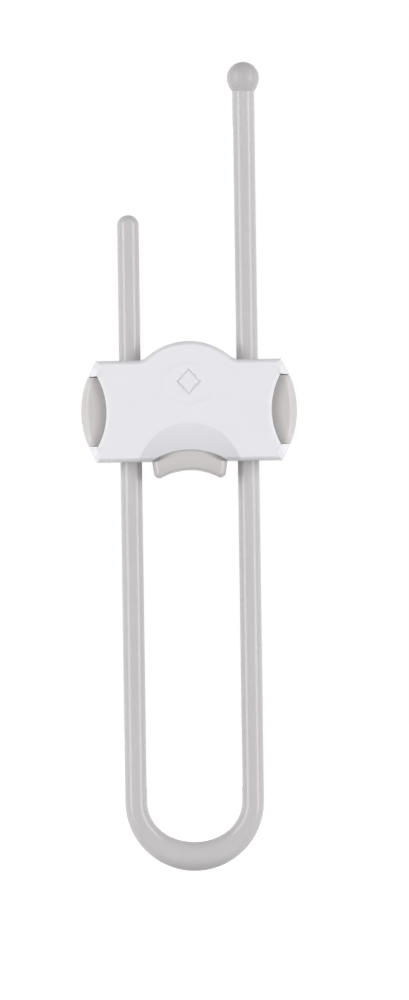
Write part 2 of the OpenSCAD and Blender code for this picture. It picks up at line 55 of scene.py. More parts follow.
def makePiece(name, points, faces, creaseAngle=32):
    mesh = bpy.data.meshes.new(name)
    mesh.from_pydata([tuple(c * mm for c in p) for p in points], [], faces)
    mesh.validate()
    piece = addObject(name, mesh)
    tidyMesh(piece, creaseAngle)
    return piece


def tidyMesh(piece, creaseAngle=32, turnOutwards=True):
    mesh = piece.data
    work = bmesh.new()
    work.from_mesh(mesh)
    bmesh.ops.remove_doubles(work, verts=work.verts, dist=least["merge"] * mm)
    bmesh.ops.dissolve_degenerate(work, edges=work.edges, dist=least["flat"] * mm)
    if turnOutwards:
        bmesh.ops.recalc_face_normals(work, faces=work.faces)
    work.to_mesh(mesh)
    work.free()
    mesh.shade_smooth()
    mesh.set_sharp_from_angle(angle=math.radians(creaseAngle))
    mesh.update()


def makeBlock(name, low, high):
    corners = [(x, y, z) for x in (low[0], high[0]) for y in (low[1], high[1]) for z in (low[2], high[2])]
    sides = [(0, 1, 3, 2), (4, 6, 7, 5), (0, 4, 5, 1), (2, 3, 7, 6), (0, 2, 6, 4), (1, 5, 7, 3)]
    return makePiece(name, corners, sides)


def copyOfNode(node):
    piece = addObject(node + "_copy", nodes[node].data.copy())
    tidyMesh(piece, turnOutwards=False)
    return piece


def keepResult(piece):
    graph = bpy.context.evaluated_depsgraph_get()
    graph.update()
    mesh = bpy.data.meshes.new_from_object(piece.evaluated_get(graph))
    piece.modifiers.clear()
    old = piece.data
    piece.data = mesh
    bpy.data.meshes.remove(old)


def combine(piece, other, operation):
    modifier = piece.modifiers.new("combine", "BOOLEAN")
    modifier.operation = operation
    modifier.solver = "EXACT"
    modifier.object = other
    keepResult(piece)
    bpy.data.objects.remove(other)


def joinPieces(main, *others):
    work = bmesh.new()
    work.from_mesh(main.data)
    for other in others:
        work.from_mesh(other.data)
    work.to_mesh(main.data)
    work.free()
    main.data.update()
    for other in others:
        bpy.data.objects.remove(other)


def dress(piece, material, body, node):
    piece.data.materials.clear()
    piece.data.materials.append(material)
    for polygon in piece.data.polygons:
        polygon.material_index = 0
    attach(piece, body)
    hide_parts(node)
    print(piece.name, "made:", len(piece.data.polygons), "faces")


def ringsToFaces(count, size):
    return [(k * size + i, k * size + (i + 1) % size, (k + 1) * size + (i + 1) % size, (k + 1) * size + i)
            for k in range(count - 1) for i in range(size)]


def poleFaces(count, size):
    # closes the first and the last ring with two poles, whose points follow the rings' own
    first, last = count * size, (count - 1) * size
    faces = []
    for i in range(size):
        j = (i + 1) % size
        faces += [(first, j, i), (first + 1, last + i, last + j)]
    return faces


def fillOutline(outline, spots=()):
    # triangles of a flat outline, through any further spots inside it
    size = len(outline)
    flat = [Vector(p) for p in outline] + [Vector(p) for p in spots]
    made = geometry.delaunay_2d_cdt(flat, [(i, (i + 1) % size) for i in range(size)], [], 1, least["fill"])
    return [tuple(p) for p in made[0]], [tuple(f) for f in made[2]]


def addFill(points, faces, filled, place):
    spots, triangles = filled
    start = len(points)
    points += [place(x, z) for x, z in spots]
    faces += [tuple(start + i for i in f) for f in triangles]


def smoothStep(t):
    t = min(max(t, 0), 1)
    return t * t * (3 - 2 * t)


def cornersCut(rows):
    # a soft curve that stays inside the chain of rows
    for _ in range(2):
        cut = [rows[0]]
        for a, b in zip(rows, rows[1:]):
            cut.append(tuple(0.75 * p + 0.25 * q for p, q in zip(a, b)))
            cut.append(tuple(0.25 * p + 0.75 * q for p, q in zip(a, b)))
        rows = cut + [rows[-1]]
    return rows


def bow(a, b, rise, n):
    # points from a to b, without b, on an arc that stands out to the right by rise
    a, b = np.array(a, float), np.array(b, float)
    half = np.linalg.norm(b - a) / 2
    s = max(rise, half * least["bowShare"], key=abs)
    turn = 2 * math.atan(s / half)
    radius = half / math.sin(turn)
    u = (b - a) / (2 * half)
    v = np.array([u[1], -u[0]])
    spots = []
    for i in range(n):
        t = turn * (2 * i / n - 1)
        out = radius * (math.cos(t) - math.cos(turn))
        spots.append(tuple((a + b) / 2 + u * radius * math.sin(t) + v * out))
    return spots


def bowOfRadius(a, b, radius, n):
    half = math.dist(a, b) / 2
    return bow(a, b, math.copysign(abs(radius) - math.sqrt(radius * radius - half * half), radius), n)


def drawnIn(points, distances):
    # each edge moves in by its own distance; the outline runs counter-clockwise
    n = len(points)
    moved = []
    for i in range(n):
        p, before, after = (np.array(points[j % n], float) for j in (i, i - 1, i + 1))
        u, v = (p - before) / np.linalg.norm(p - before), (after - p) / np.linalg.norm(after - p)
        nu, nv = np.array([-u[1], u[0]]), np.array([-v[1], v[0]])
        du, dv = distances[i - 1], distances[i]
        turn = u[0] * v[1] - u[1] * v[0]
        if abs(turn) < least["corner"] and abs(du - dv) < least["unlike"]:
            m = (nu + nv) / np.linalg.norm(nu + nv)
            moved.append(tuple(p + m * du / float(m @ nu)))
        elif abs(turn) < least["sharp"]:
            moved.append(tuple(p + nu * (du + dv) / 2))
        else:
            s = ((p + nv * dv) - (p + nu * du)) @ nv / float(u @ nv)
            moved.append(tuple(p + nu * du + u * s))
    return moved


def mirrored(path):
    # closes the right half of an outline; each edge and its mirror image move in by the same distance
    points, distances = [p for p, _ in path], [d for _, d in path][:-1]
    left = [(-x, z) for x, z in points[1:-1]][::-1]
    return drawnIn(points + left, distances + distances[::-1])


def wire(tree, value, socket):
    if isinstance(value, bpy.types.NodeSocket):
        tree.links.new(value, socket)
    else:
        socket.default_value = value


def feed(tree, node, **given):
    # wires inputs by name, such as fromMin for From Min
    for key, value in given.items():
        label = "".join(" " + c if c.isupper() else c for c in key).title()
        wire(tree, value, node.inputs[label])
    return node


def newNode(tree, kind, **given):
    return feed(tree, tree.nodes.new(kind), **given)


def calc(tree, operation, a, b=0.0):
    node = tree.nodes.new("ShaderNodeMath")
    node.operation = operation
    wire(tree, a, node.inputs[0])
    wire(tree, b, node.inputs[1])
    return node.outputs[0]


def triple(tree, x=0.0, y=0.0, z=0.0):
    node = tree.nodes.new("ShaderNodeCombineXYZ")
    for value, socket in zip((x, y, z), node.inputs):
        wire(tree, value, socket)
    return node.outputs[0]


def partsOf(tree, vector):
    return newNode(tree, "ShaderNodeSeparateXYZ", vector=vector).outputs


def seenDirectly(tree):
    # 1 for rays from the camera and through clear or glossy surfaces
    path = tree.nodes.new("ShaderNodeLightPath").outputs
    share = calc(tree, "MAXIMUM", path["Is Camera Ray"], path["Is Glossy Ray"])
    return calc(tree, "MAXIMUM", share, path["Is Transmission Ray"])


def newMaterial(name, colour, roughness, specular=0.5):
    material = bpy.data.materials.new(name)
    material.use_nodes = True
    tree = material.node_tree
    shader = feed(tree, tree.nodes["Principled BSDF"], baseColor=(*colour, 1), roughness=roughness)
    shader.inputs["Specular IOR Level"].default_value = specular
    return material, tree, shader


def grain(tree, where, scale, detail, roughness=0.5):
    noise = newNode(tree, "ShaderNodeTexNoise", vector=where, scale=scale, detail=detail, roughness=roughness)
    return noise.outputs["Fac"]


def mapped(tree, value, span, low, high):
    first, last = span
    node = newNode(tree, "ShaderNodeMapRange", value=value, fromMin=first, fromMax=last, toMin=low, toMax=high)
    return node.outputs["Result"]


def tinted(tree, value, dark, light):
    ramp = newNode(tree, "ShaderNodeValToRGB", fac=value)
    for element, spot, colour in zip(ramp.color_ramp.elements, noiseSpan, (dark, light)):
        element.position = spot
        element.color = (*colour, 1)
    return ramp.outputs["Color"]


def dimmed(tree, colour, factor):
    node = tree.nodes.new("ShaderNodeVectorMath")
    node.operation = "SCALE"
    tree.links.new(colour, node.inputs[0])
    tree.links.new(factor, node.inputs["Scale"])
    return node.outputs[0]


def bumped(tree, value, strength, distance, under=None):
    node = newNode(tree, "ShaderNodeBump", strength=strength, distance=distance, height=value)
    if under is not None:
        feed(tree, node, normal=under)
    return node.outputs["Normal"]


def mouldedPlastic(name, look, shade=None):
    # a slow change of tone, a fine grain in bump and roughness, and the faint waves of a moulded face
    colour, spread, roughness, specular, grainSize, grainDepth, waveDepth = look
    m = moulding
    material, tree, shader = newMaterial(name, colour, roughness, specular)
    place = tree.nodes.new("ShaderNodeTexCoord").outputs["Object"]
    cloud = grain(tree, place, m["cloudScale"], 2)
    tone = tinted(tree, cloud, [c * (1 - spread) for c in colour], [c * (1 + spread) for c in colour])
    # where a shade function is given, painted light and shade scale the tone
    if shade is not None:
        tone = dimmed(tree, tone, shade(tree, place))
    fine = grain(tree, place, 1 / (grainSize * mm), 2)
    polish = mapped(tree, fine, noiseSpan, roughness * m["smooth"], roughness * m["rough"])
    wave = bumped(tree, grain(tree, place, m["waveScale"], 1), waveDepth, m["waveRise"] * mm)
    normal = bumped(tree, fine, grainDepth, m["grainRise"] * mm, wave)
    feed(tree, shader, baseColor=tone, roughness=polish, normal=normal)
    return material


def drawnSteel(name, colour, roughness):
    d = drawing
    material, tree, shader = newMaterial(name, colour, roughness)
    place = tree.nodes.new("ShaderNodeTexCoord").outputs["Object"]
    streaks = grain(tree, place, d["scale"], 4, d["contrast"])
    tone = tinted(tree, streaks, [c * d["dark"] for c in colour], colour)
    polish = mapped(tree, streaks, noiseSpan, roughness * d["smooth"], roughness * d["rough"])
    normal = bumped(tree, streaks, d["depth"], d["rise"] * mm)
    feed(tree, shader, metallic=1, baseColor=tone, roughness=polish, normal=normal)
    return material


def fromLip(tree, x, z, s):
    # how far a spot lies outside the bowed edge at a button, in metres
    along = calc(tree, "DIVIDE", calc(tree, "SUBTRACT", z, homeZ * mm), s["half"] * mm)
    bowed = calc(tree, "SUBTRACT", 1.0, calc(tree, "POWER", along, 2.0))
    edge = calc(tree, "ADD", calc(tree, "MULTIPLY", bowed, -s["bow"] * mm), s["endX"] * mm)
    return calc(tree, "SUBTRACT", calc(tree, "ABSOLUTE", x), edge)


def ramped(tree, value, low, high, first, last):
    # a factor that runs from first to last between two places in millimetres
    return mapped(tree, value, (low * mm, high * mm), first, last)


def frontShade(tree, place):
    # painted shade makes the scoop darker towards the tab, and a painted highlight makes the bevel at a button
    # lighter than the face
    x, _, z = partsOf(tree, place)
    r, s = rimPaintedHighlight, scoopPaintedShade
    rim = ramped(tree, fromLip(tree, x, z, r), r["from"], r["to"], 1.0, r["light"])
    up = calc(tree, "SUBTRACT", z, (homeZ + s["z"]) * mm)
    squares = calc(tree, "ADD", calc(tree, "POWER", x, 2.0), calc(tree, "POWER", up, 2.0))
    distance = calc(tree, "SQRT", squares)
    slope = ramped(tree, z, homeZ + s["low"], homeZ + s["z"] + s["radius"], s["dull"], s["light"])
    outside = ramped(tree, distance, s["radius"] - s["edge"], s["radius"], 0, 1)
    scoop = calc(tree, "ADD", slope, calc(tree, "MULTIPLY", outside, calc(tree, "SUBTRACT", 1.0, slope)))
    return calc(tree, "MULTIPLY", scoop, rim)


def buttonShade(tree, place):
    # painted shade darkens a button towards the covers' lip, painted light makes its outer facet lighter, and a
    # painted highlight runs along its crease
    x, y, z = partsOf(tree, place)
    s = buttonPaintedShadeAndLight
    inner = ramped(tree, fromLip(tree, x, z, s), s["from"], s["to"], s["dull"], 1.0)
    depth = calc(tree, "ABSOLUTE", y)
    facet = ramped(tree, depth, s["crease"] - s["blend"], s["crease"], s["light"], 1.0)
    # painted highlight along the crease
    toCrease = calc(tree, "ABSOLUTE", calc(tree, "SUBTRACT", depth, s["crease"] * mm))
    worn = ramped(tree, toCrease, s["creaseHighlightHalf"], 2 * s["creaseHighlightHalf"], s["worn"], 1.0)
    return calc(tree, "MULTIPLY", calc(tree, "MULTIPLY", inner, facet), worn)


# painted shade: the colour darkens towards a part's underside, below a given height
def undersideShade(s):
    def shade(tree, place):
        _, _, z = partsOf(tree, place)
        return ramped(tree, z, s["low"], s["high"], s["dull"], 1.0)
    return shade


noiseSpan = (0.3, 0.7)  # where nearly all values of a noise lie
# scales of noise are per metre
moulding = {
    "cloudScale": 55, "waveScale": 160, "waveRise": 0.4, "grainRise": 0.02, "smooth": 0.85, "rough": 1.15,
}
drawing = {
    "scale": 900, "contrast": 0.7, "dark": 0.82, "smooth": 0.7, "rough": 1.3, "depth": 0.15, "rise": 0.03,
}
finishes = {
    # colour, spread of its tone, roughness, specular level, size and depth of the grain, depth of the waves
    "whiteShell": ((0.775, 0.77, 0.805), 0.008, 0.42, 0.4, 0.35, 0.10, 0.02),
    "greyRod": ((0.54, 0.518, 0.525), 0.012, 0.18, 0.6, 0.5, 0.05, 0.03),
    "greyBall": ((0.485, 0.47, 0.47), 0.015, 0.28, 0.5, 0.4, 0.08, 0.03),
    "greyButton": ((0.555, 0.53, 0.525), 0.012, 0.22, 0.5, 0.35, 0.08, 0.03),
    "greyTab": ((0.56, 0.534, 0.529), 0.012, 0.2, 0.7, 0.35, 0.06, 0.03),
    "naturalAcetal": ((0.72, 0.70, 0.64), 0.02, 0.4, 0.5, 0.4, 0.10, 0.03),
}
# painted shade of the scoop, darker towards the tab
scoopPaintedShade = {"z": -21.5, "radius": 17.7, "low": -15.0, "edge": 0.5, "dull": 0.83, "light": 0.94}
# painted shade towards the lip, painted light on the outer facet, and a painted highlight along the crease
buttonPaintedShadeAndLight = {
    "half": 11.25, "bow": 3.0, "endX": 29.8, "from": 1.7, "to": 4.1, "dull": 0.76,
    "crease": 8.12, "blend": 0.2, "light": 1.09, "creaseHighlightHalf": 0.14, "worn": 1.14,
}
# painted highlight on the cover's bevel beside each button
rimPaintedHighlight = {"half": 11.55, "bow": 3.0, "endX": 30.2, "from": -1.3, "to": -0.7, "light": 1.07}
# painted shade under the rod's bend
bendPaintedShade = {"low": -23.0, "high": -17.5, "dull": 0.8}
# painted shade towards the tab's lower edge
tabPaintedShade = {"low": homeZ - 22.5, "high": homeZ - 17.0, "dull": 0.84}
whiteFront = mouldedPlastic("white_front", finishes["whiteShell"], frontShade)
whiteRear = mouldedPlastic("white_rear", finishes["whiteShell"])
greyRod = mouldedPlastic("grey_rod", finishes["greyRod"], undersideShade(bendPaintedShade))
greyBall = mouldedPlastic("grey_ball", finishes["greyBall"])
greySide = mouldedPlastic("grey_side", finishes["greyButton"], buttonShade)
greyTab = mouldedPlastic("grey_tab", finishes["greyTab"], undersideShade(tabPaintedShade))
naturalAcetal = mouldedPlastic("natural_acetal", finishes["naturalAcetal"])
screwSteel = drawnSteel("screw_steel", (0.62, 0.62, 0.63), 0.3)
springSteel = drawnSteel("spring_steel", (0.45, 0.45, 0.46), 0.28)
pinSteel = drawnSteel("pin_steel", (0.6, 0.6, 0.61), 0.2)
print("materials made")


def inMetres(lengths):
    return {label: length * mm for label, length in lengths.items()}


def newTree(name, values):
    # a node tree with an input for each value, which is also that input's default
    tree = bpy.data.node_groups.new(name, "GeometryNodeTree")
    for label, value in values.items():
        kind = "NodeSocketInt" if isinstance(value, int) else "NodeSocketFloat"
        tree.interface.new_socket(name=label, in_out="INPUT", socket_type=kind).default_value = value
    tree.interface.new_socket(name="Geometry", in_out="OUTPUT", socket_type="NodeSocketGeometry")
    return tree, tree.nodes.new("NodeGroupInput").outputs, tree.nodes.new("NodeGroupOutput")


def shapeNode(tree, kind, **given):
    # the shape that a mesh, curve or instance node gives
    return newNode(tree, "GeometryNode" + kind, **given).outputs[0]


def moved(tree, shape, x=0.0, y=0.0, z=0.0, turn=(0, 0, 0)):
    place = triple(tree, x, y, z)
    return shapeNode(tree, "Transform", geometry=shape, translation=place, rotation=turn)


def carved(tree, operation, *shapes):
    node = tree.nodes.new("GeometryNodeMeshBoolean")
    node.operation = operation
    first = 0 if operation == "DIFFERENCE" else 1
    for k, shape in enumerate(shapes):
        tree.links.new(shape, node.inputs[first if k == 0 else 1])
    return node.outputs["Mesh"]


def finishTree(tree, shape, sink, material):
    whole = shapeNode(tree, "RealizeInstances", geometry=shape)
    coated = shapeNode(tree, "SetMaterial", geometry=whole, material=material)
    feed(tree, sink, geometry=coated)


def growTree(name, tree, values):
    # runs a tree with the given inputs and keeps its result as a plain mesh
    piece = addObject(name, bpy.data.meshes.new(name))
    modifier = piece.modifiers.new("nodes", "NODES")
    modifier.node_group = tree
    for item in tree.interface.items_tree:
        if item.in_out == "INPUT":
            modifier[item.identifier] = values[item.name]
    keepResult(piece)
    return piece


rod = {
    "radius": 3.65, "legX": 19.3, "shortTop": 194.0, "tipRise": 2.6, "longTop": 234.3,
    "bendGrowth": 2.3, "bendSteps": 72, "sides": 60, "crease": 32,
    # the tip's rings, and its edge as drops and shares of the radius
    "tipRings": 14, "tipEdge": ((-0.10, 0.985), (0.08, 0.995), (0.35, 1.0)),
    # rings of each leg, and how far they stay from the tip or the bend
    "shortRings": 24, "longRings": 30, "ringRoom": 2,
    "grooveHalf": 1.2, "grooveOver": 1, "crestX": 2.75, "rootX": 1.95,
    "pitch": 3.0, "firstTooth": 2, "shortTeeth": 64, "longTeeth": 74,
    "rootWidth": 2.2, "crestWidth": 0.4, "foot": 0.2, "mouth": 2.6, "endRoom": 0.1,
    "spigotRadius": 2.1, "spigotTop": 240.3,
}


def rodRing(middle, inward, half, share=1.0):
    r = rod["radius"] * share
    angles = [2 * math.pi * k / rod["sides"] for k in range(rod["sides"])]
    return [(middle[0] + inward[0] * half * share * math.cos(q), r * math.sin(q),
             middle[1] + inward[1] * half * share * math.cos(q)) for q in angles]


def makeRod():
    r, x = rod["radius"], rod["legX"]
    tipRadius = (r * r + rod["tipRise"] ** 2) / (2 * rod["tipRise"])
    rings = []
    for k in range(1, rod["tipRings"]):  # rounded tip of the short leg
        turn = math.asin(r / tipRadius) * k / rod["tipRings"]
        z = rod["shortTop"] - tipRadius * (1 - math.cos(turn))
        rings.append(rodRing((-x, z), (1, 0), r, tipRadius * math.sin(turn) / r))
    tipEdge = rod["shortTop"] - rod["tipRise"]
    rings += [rodRing((-x, tipEdge - drop), (1, 0), r, share) for drop, share in rod["tipEdge"]]
    heights = np.linspace(tipEdge - rod["ringRoom"], 0, rod["shortRings"], endpoint=False)
    rings += [rodRing((-x, z), (1, 0), r) for z in heights]
    for k in range(rod["bendSteps"] + 1):
        a = math.pi + math.pi * k / rod["bendSteps"]
        inner = x - r - rod["bendGrowth"] * math.sin(a) ** 2
        outer = x + r
        middle = (inner + outer) / 2
        spot = (middle * math.cos(a), middle * math.sin(a))
        rings.append(rodRing(spot, (-math.cos(a), -math.sin(a)), (outer - inner) / 2))
    heights = np.linspace(rod["longTop"], rod["ringRoom"], rod["longRings"])[::-1]
    rings += [rodRing((x, z), (-1, 0), r) for z in heights]
    spigot = rod["spigotRadius"] / r
    rings += [rodRing((x, z), (-1, 0), r, spigot) for z in (rod["longTop"], rod["spigotTop"])]
    points = [p for ring in rings for p in ring] + [(-x, 0, rod["shortTop"]), (x, 0, rod["spigotTop"])]
    faces = ringsToFaces(len(rings), rod["sides"]) + poleFaces(len(rings), rod["sides"])
    piece = makePiece("rod", points, faces, rod["crease"])
    half, over = rod["grooveHalf"], rod["grooveOver"]
    low = rod["firstTooth"] * rod["pitch"] - rod["mouth"] / 2 - rod["endRoom"]
    longTop = rod["longTeeth"] * rod["pitch"] + rod["mouth"] / 2
    for side, top in ((-1, rod["shortTop"] + over), (1, longTop)):
        xs = sorted((side * (x - rod["rootX"]), side * (x - r - over)))
        combine(piece, makeBlock("groove", (xs[0], -half, low), (xs[1], half, top)), "DIFFERENCE")
    tidyMesh(piece, rod["crease"], turnOutwards=False)
    return piece


def rackTree(values):
    # a row of teeth up a leg, on the floor of its groove; each foot reaches a little under the floor
    tree, given, sink = newTree("rack teeth", values)
    tall = calc(tree, "ADD", given["Tooth Height"], given["Foot"])
    block = shapeNode(tree, "MeshCube", size=triple(tree, tall, given["Groove Width"], given["Root Width"]))
    x, y, z = partsOf(tree, tree.nodes.new("GeometryNodeInputPosition").outputs[0])
    ratio = calc(tree, "DIVIDE", given["Crest Width"], given["Root Width"])
    atCrest = calc(tree, "GREATER_THAN", x, 0.0)
    lost = calc(tree, "MULTIPLY", atCrest, calc(tree, "SUBTRACT", 1.0, ratio))
    narrow = calc(tree, "SUBTRACT", 1.0, lost)
    lifted = calc(tree, "SUBTRACT", calc(tree, "ADD", x, calc(tree, "DIVIDE", tall, 2.0)), given["Foot"])
    shaped = triple(tree, lifted, y, calc(tree, "MULTIPLY", z, narrow))
    tooth = shapeNode(tree, "SetPosition", geometry=block, position=shaped)
    row = shapeNode(tree, "MeshLine", count=given["Teeth"], offset=triple(tree, 0.0, 0.0, given["Pitch"]),
                    startLocation=triple(tree, given["Floor X"], 0.0, given["First Height"]))
    turn = calc(tree, "MULTIPLY", calc(tree, "GREATER_THAN", 0.0, given["Side"]), math.pi)
    turned = triple(tree, 0.0, 0.0, turn)
    spread = shapeNode(tree, "InstanceOnPoints", points=row, instance=tooth, rotation=turned)
    finishTree(tree, spread, sink, greyRod)
    return tree


def rackValues(side, teeth):
    r = rod
    values = inMetres({
        "Pitch": r["pitch"], "First Height": (r["firstTooth"] - 0.5) * r["pitch"],
        "Root Width": r["rootWidth"], "Crest Width": r["crestWidth"], "Tooth Height": r["crestX"] - r["rootX"],
        "Foot": r["foot"], "Groove Width": 2 * r["grooveHalf"], "Floor X": side * (r["legX"] - r["rootX"]),
    })
    values.update({"Teeth": teeth - r["firstTooth"] + 1 + (side > 0), "Side": float(-side)})
    return values


rodPiece = makeRod()
rackSets = [rackValues(-1, rod["shortTeeth"]), rackValues(1, rod["longTeeth"])]
teethTree = rackTree(rackSets[0])
joinPieces(rodPiece, *[growTree("rack", teethTree, values) for values in rackSets])
rodPiece.data.set_sharp_from_angle(angle=math.radians(rod["crease"]))
dress(rodPiece, greyRod, "shackle", "shackle_rod")


ball = {
    "radius": 5.3, "neck": 4.5, "seamRadius": 3.68, "bore": 2.15, "depth": 6.05, "around": 64, "crease": 40,
    # the seam's rounded edge, as distances from the seam's radius and heights
    "seamEdge": ((-0.16, 0.0), (-0.05, 0.03), (0.0, 0.14)),
    # where the cone runs into the ball, in radians under its middle, and how far it bellies out
    "leave": math.asin(0.3) + 0.06, "belly": 0.12, "coneSteps": 7, "ballSteps": 22,
}


def makeBall():
    b = ball
    r, c, leave, seam, n = b["radius"], b["neck"], b["leave"], b["seamRadius"], b["around"]
    profile = [(b["bore"], b["depth"]), (b["bore"], 0.0)] + [(seam + dx, z) for dx, z in b["seamEdge"]]
    foot = profile[-1][1]
    coneEnd = (r * math.cos(leave), c - r * math.sin(leave))
    for k in range(1, b["coneSteps"]):
        t = k / b["coneSteps"]
        radius = seam + (coneEnd[0] - seam) * (t + b["belly"] * math.sin(math.pi * t))
        profile.append((radius, foot + (coneEnd[1] - foot) * t))
    for k in range(b["ballSteps"]):
        q = -leave + (math.pi / 2 + leave) * k / b["ballSteps"]
        profile.append((r * math.cos(q), c + r * math.sin(q)))
    x, base = rod["legX"], rod["longTop"]
    turns = [2 * math.pi * i / n for i in range(n)]
    points = [(x + radius * math.cos(q), radius * math.sin(q), base + z)
              for radius, z in profile for q in turns]
    points += [(x, 0, base + b["depth"]), (x, 0, base + c + r)]
    faces = ringsToFaces(len(profile), n) + poleFaces(len(profile), n)
    piece = makePiece("ball", points, faces, b["crease"])
    dress(piece, greyBall, "shackle", "ball_stop")


makeBall()


housing = {
    "faceHalf": 30.5, "bulge": 5.0, "leastRise": 0.01, "topZ": 16.7, "halfDepth": 11, "faceY": -10.988,
    "archRise": 6.2, "archRadius": 21.0, "footRadius": 5.0, "inset": 0.02, "crease": 24,
    "buttonHalf": 11.55, "buttonEndX": 30.2, "buttonBow": 3.0, "lipRoom": 0.02,
    "openingHalf": 12.7, "openingRise": 3.6,
    # points on the tab's arch, a button's lip, the crown, its feet and the straight edges under and over
    "tabSteps": 32, "lipSteps": 36, "archSteps": 48, "footSteps": 10, "lowSteps": 6, "highSteps": 4,
    "scoopRadius": 17.7, "scoopZ": -21.5, "scoopStep": 0.1, "scoopSoft": 0.6, "scoopSlope": 0.115,
    "dishHalfW": 9.4, "dishHalfH": 7.1, "dishZ": 9.0, "dishRim": 0.26, "dishBowl": 0.24, "rimShare": 0.15,
    # where the face's points lie: distances inside the scoop's edge, and shares of the dish
    "scoopRows": [-0.05, 0.02, 0.1, 0.2, 0.3, 0.4, 0.5, 0.6, *np.linspace(0.9, 9.6, 18)],
    "dishRows": (1.006, 0.998, 0.985, 0.97, 0.955, 0.94, 0.925, 0.915, 0.88, 0.8, 0.7, 0.6, 0.5),
    "bowlRows": (0.4, 0.3, 0.2, 0.1), "scoopAround": 110, "dishAround": 96, "bowlAround": 40, "spotRoom": 0.12,
    # the scoop and the dish fade out over the sides from this depth
    "fadeY": -4, "fadeOver": 6,
    "skinY": 9.6, "skinOut": 0.6,
    "diamondZ": 9.5, "diamondHalfW": 3.85, "diamondHalfH": 4.25, "lineWidth": 0.32, "lineDeep": 0.25,
    "lineFrom": -12, "lineBowl": 0.9,
    # depth, inset of the outer edge, share of the side's bulge, inset at a button, inset at the tab
    "rows": [
        (-11.00, 1.75, 0.000, 1.60, 0.80), (-11.00, 1.28, 0.000, 1.30, 0.45),
        (-10.90, 1.14, 0.015, 1.16, 0.25), (-10.25, 0.54, 0.150, 0.30, 0.06),
        (-9.80, 0.34, 0.235, 0.04, 0.00), (-9.20, 0.14, 0.325, 0.03, 0.00),
        (-8.60, 0.00, 0.415, 0.02, 0.00), (-5.40, 0.00, 0.930, 0.02, 0.00),
        (-4.60, 0.00, 0.990, 0.02, 0.00), (0.80, 0.00, 0.990, 0.02, 0.00),
    ],
}


def sideX(z, share):
    h = housing
    rise = max(h["bulge"] * share, h["leastRise"])
    radius = (h["topZ"] ** 2 + rise * rise) / (2 * rise)
    return h["faceHalf"] + math.sqrt(radius * radius - z * z) - (radius - rise)


def evenly(first, last, count):
    # places from first on, without last
    return [first + (last - first) * k / count for k in range(count)]


def coverOutline(share, outer, atButton, atTab):
    # the right half from the tab's arch over the button's opening to the crown, then its mirror image
    h, onAxis = housing, least["offAxis"]
    top, notch, innerX, opening = h["topZ"], h["buttonHalf"], h["buttonEndX"], h["openingHalf"]
    footZ, archZ = top + h["footRadius"], top + h["archRise"] - h["archRadius"]
    reach = h["archRadius"] + h["footRadius"]
    footX = math.sqrt(reach ** 2 - (footZ - archZ) ** 2)
    meet = (footX * h["archRadius"] / reach, archZ + (footZ - archZ) * h["archRadius"] / reach)
    tabArc = bow((opening, -top), (-opening, -top), h["openingRise"], h["tabSteps"])[::-1]
    lip = bow((innerX, notch), (innerX, -notch), h["buttonBow"], h["lipSteps"])[:0:-1]
    foot = bowOfRadius((footX, top), meet, -h["footRadius"], h["footSteps"])
    arch = bowOfRadius(meet, (-meet[0], meet[1]), h["archRadius"], h["archSteps"])
    path = [(p, atTab) for p in tabArc if -onAxis < p[0] < opening - onAxis]
    path += [((x, -top), outer) for x in evenly(opening, h["faceHalf"], h["lowSteps"])]
    path += [((sideX(z, share), z), outer) for z in (-top, -(top + notch) / 2)]
    low = len(path)
    path += [((sideX(notch, share), -notch), atButton), ((innerX, -notch), atButton)]
    path += [(p, atButton) for p in lip] + [((innerX, notch), atButton)]
    high = len(path)
    path += [((sideX(z, share), z), outer) for z in (notch, (top + notch) / 2)]
    path += [((x, top), outer) for x in evenly(h["faceHalf"], footX, h["highSteps"])]
    path += [(p, outer) for p in foot]
    path += [(p, outer) for p in arch if p[0] > onAxis] + [((0.0, top + h["archRise"]), outer)]
    ring, last = mirrored(path), 2 * (len(path) - 1)
    pairs = ((low, low + 1), (high, high - 1), (last - low, last - low - 1), (last - high, last - high + 1))
    for i, j in pairs:  # the short edge over or under a button never turns round
        reach = max(abs(ring[i][0]), abs(ring[j][0]) + h["lipRoom"])
        ring[i] = (math.copysign(reach, ring[i][0]), ring[i][1])
    return ring


def faceDepth(x, z):
    h = housing
    depth = 0.0
    s = h["scoopRadius"] - math.hypot(x, z - h["scoopZ"])
    if s > 0:
        depth = h["scoopStep"] * smoothStep(s / h["scoopSoft"]) + h["scoopSlope"] * s
    q = math.hypot(x / h["dishHalfW"], (z - h["dishZ"]) / h["dishHalfH"])
    if q < 1:
        depth = max(depth, h["dishRim"] * smoothStep((1 - q) / h["rimShare"]) + h["dishBowl"] * (1 - q * q))
    return depth


def wellInside(outline, x, z, margin):
    hit, nearest = False, margin * 2
    for (x0, z0), (x1, z1) in zip(outline, outline[1:] + outline[:1]):
        if (z0 > z) != (z1 > z) and x < (x1 - x0) * (z - z0) / (z1 - z0) + x0:
            hit = not hit
        t = ((x - x0) * (x1 - x0) + (z - z0) * (z1 - z0)) / ((x1 - x0) ** 2 + (z1 - z0) ** 2)
        t = min(max(t, 0), 1)
        nearest = min(nearest, math.hypot(x - x0 - t * (x1 - x0), z - z0 - t * (z1 - z0)))
    return hit and nearest > margin


def ovalSpots(halfW, halfH, z, count):
    turns = [2 * math.pi * i / count for i in range(count)]
    return [(halfW * math.cos(q), z + halfH * math.sin(q)) for q in turns]


def faceSpots(outline):
    # rows of points that follow the scoop and the dish
    h = housing
    spots = []
    for s in h["scoopRows"]:
        spots += ovalSpots(h["scoopRadius"] - s, h["scoopRadius"] - s, h["scoopZ"], h["scoopAround"])
    for shares, around in ((h["dishRows"], h["dishAround"]), (h["bowlRows"], h["bowlAround"])):
        for q in shares:
            spots += ovalSpots(h["dishHalfW"] * q, h["dishHalfH"] * q, h["dishZ"], around)
    return [p for p in spots if wellInside(outline, *p, h["spotRoom"])]


